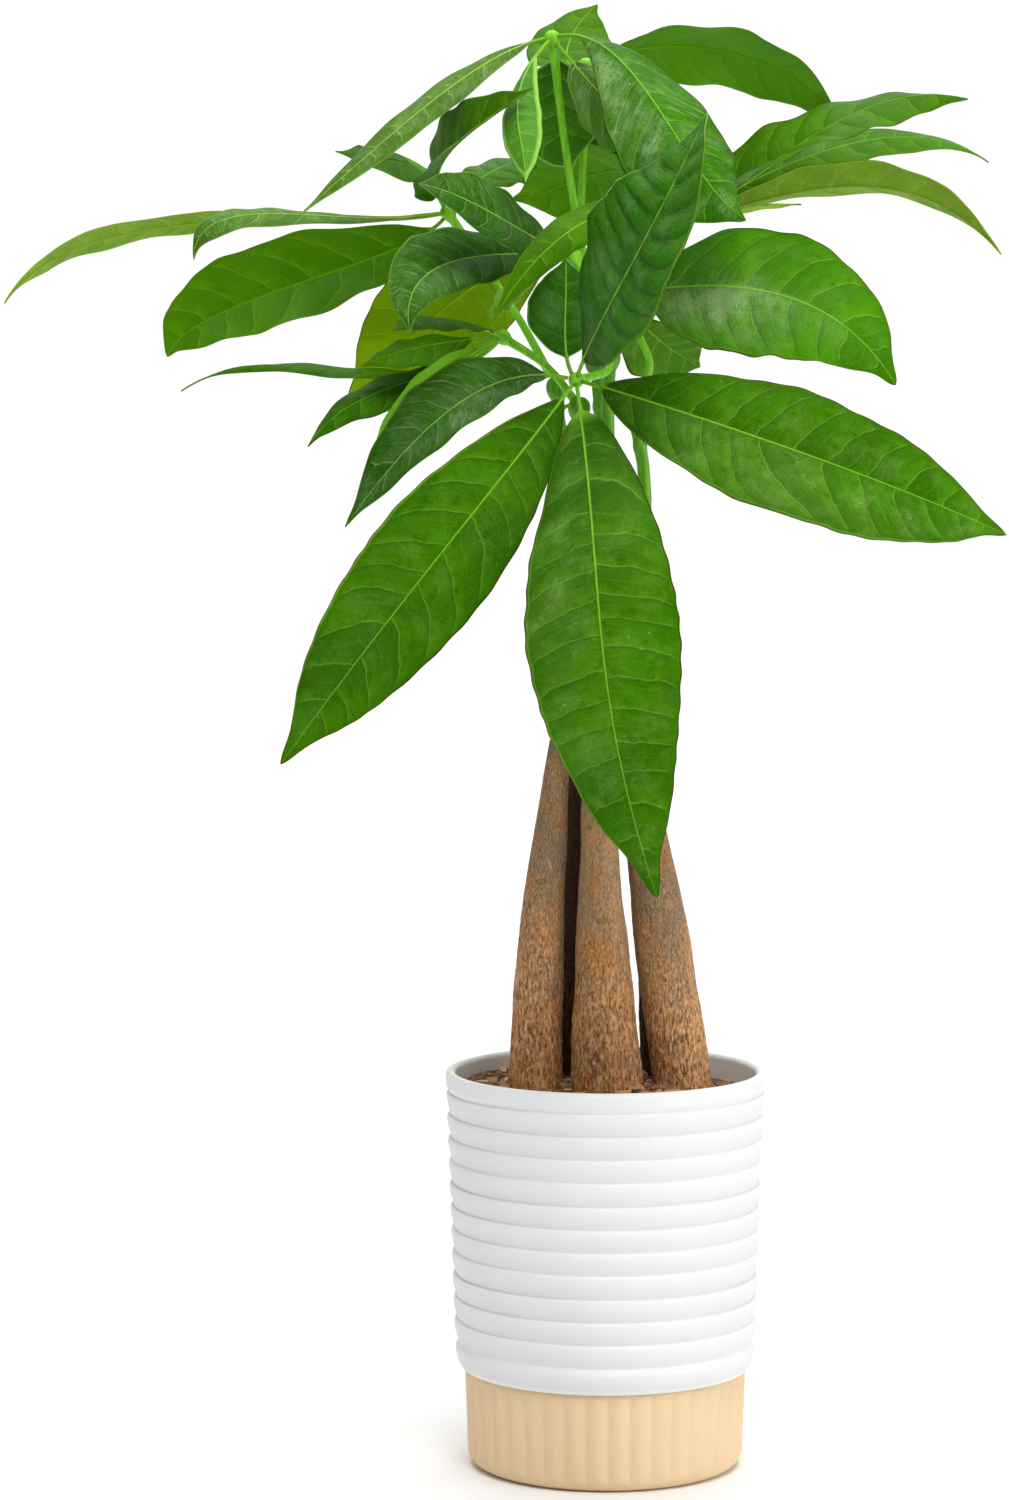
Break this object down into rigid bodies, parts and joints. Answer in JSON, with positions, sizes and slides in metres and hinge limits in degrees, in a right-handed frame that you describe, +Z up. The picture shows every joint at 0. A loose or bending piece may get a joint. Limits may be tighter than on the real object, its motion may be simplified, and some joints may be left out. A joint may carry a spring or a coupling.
{
  "type": "potted money tree",
  "caption": "Potted money tree: bare brown trunks in a ribbed white pot on a fluted tan foot, topped by green shoots and hand-shaped leaves.",
  "frame": {"origin": "centre of the foot's flat underside, on the pot's axis", "axes": "+Z up along the pot's axis, -Y towards the front of the plant and the picture's camera, +X to the right"},
  "size_m": [0.396, 0.2317, 0.597],
  "materials": {
    "pot": "matte white, moulded with level ribs",
    "pot_foot": "matte tan, moulded with shallow upright flutes",
    "soil": "potting soil with bark chips",
    "bark": "rough brown bark with fine upright ridges",
    "shoot": "smooth green stem",
    "stalk": "smooth bright green stalk",
    "leaf": "satin green leaf with pale veins"
  },
  "bodies": {
    "root": {"pot": "pot", "pot_foot": "pot_foot", "soil": "soil", "trunk_left": "bark", "shoot_left": "shoot", "trunk_middle": "bark", "shoot_middle": "shoot", "trunk_right": "bark", "shoot_right": "shoot", "trunk_back_left": "bark", "shoot_back_left": "shoot", "trunk_back_right": "bark", "shoot_back_right": "shoot", "front_leaf_stalk": "stalk", "front_leaflet_1": "leaf", "front_leaflet_2": "leaf", "front_leaflet_3": "leaf", "front_leaflet_4": "leaf", "front_leaflet_5": "leaf", "front_leaflet_6": "leaf", "top_leaf_stalk": "stalk", "top_leaflet_1": "leaf", "top_leaflet_2": "leaf", "top_leaflet_3": "leaf", "top_leaflet_4": "leaf", "top_leaflet_5": "leaf", "crown_leaf_stalk": "stalk", "crown_leaflet_1": "leaf", "crown_leaflet_2": "leaf", "crown_leaflet_3": "leaf", "inner_leaf_stalk": "stalk", "inner_leaflet_1": "leaf", "inner_leaflet_2": "leaf", "inner_leaflet_3": "leaf", "inner_leaflet_4": "leaf", "left_leaf_stalk": "stalk", "left_leaflet_1": "leaf", "left_leaflet_2": "leaf", "left_leaflet_3": "leaf", "left_leaflet_4": "leaf", "left_leaflet_5": "leaf", "left_leaflet_6": "leaf", "lower_leaf_stalk": "stalk", "lower_leaflet_1": "leaf", "lower_leaflet_2": "leaf", "lower_leaflet_3": "leaf", "lower_leaflet_4": "leaf", "lower_leaflet_5": "leaf", "right_leaf_stalk": "stalk", "right_leaflet_1": "leaf", "right_leaflet_2": "leaf", "right_leaflet_3": "leaf", "right_leaflet_4": "leaf", "right_leaflet_5": "leaf", "right_leaflet_6": "leaf", "side_leaf_stalk": "stalk", "side_leaflet_1": "leaf", "side_leaflet_2": "leaf", "side_leaflet_3": "leaf", "small_leaf": "leaf"}
  },
  "joints": []
}
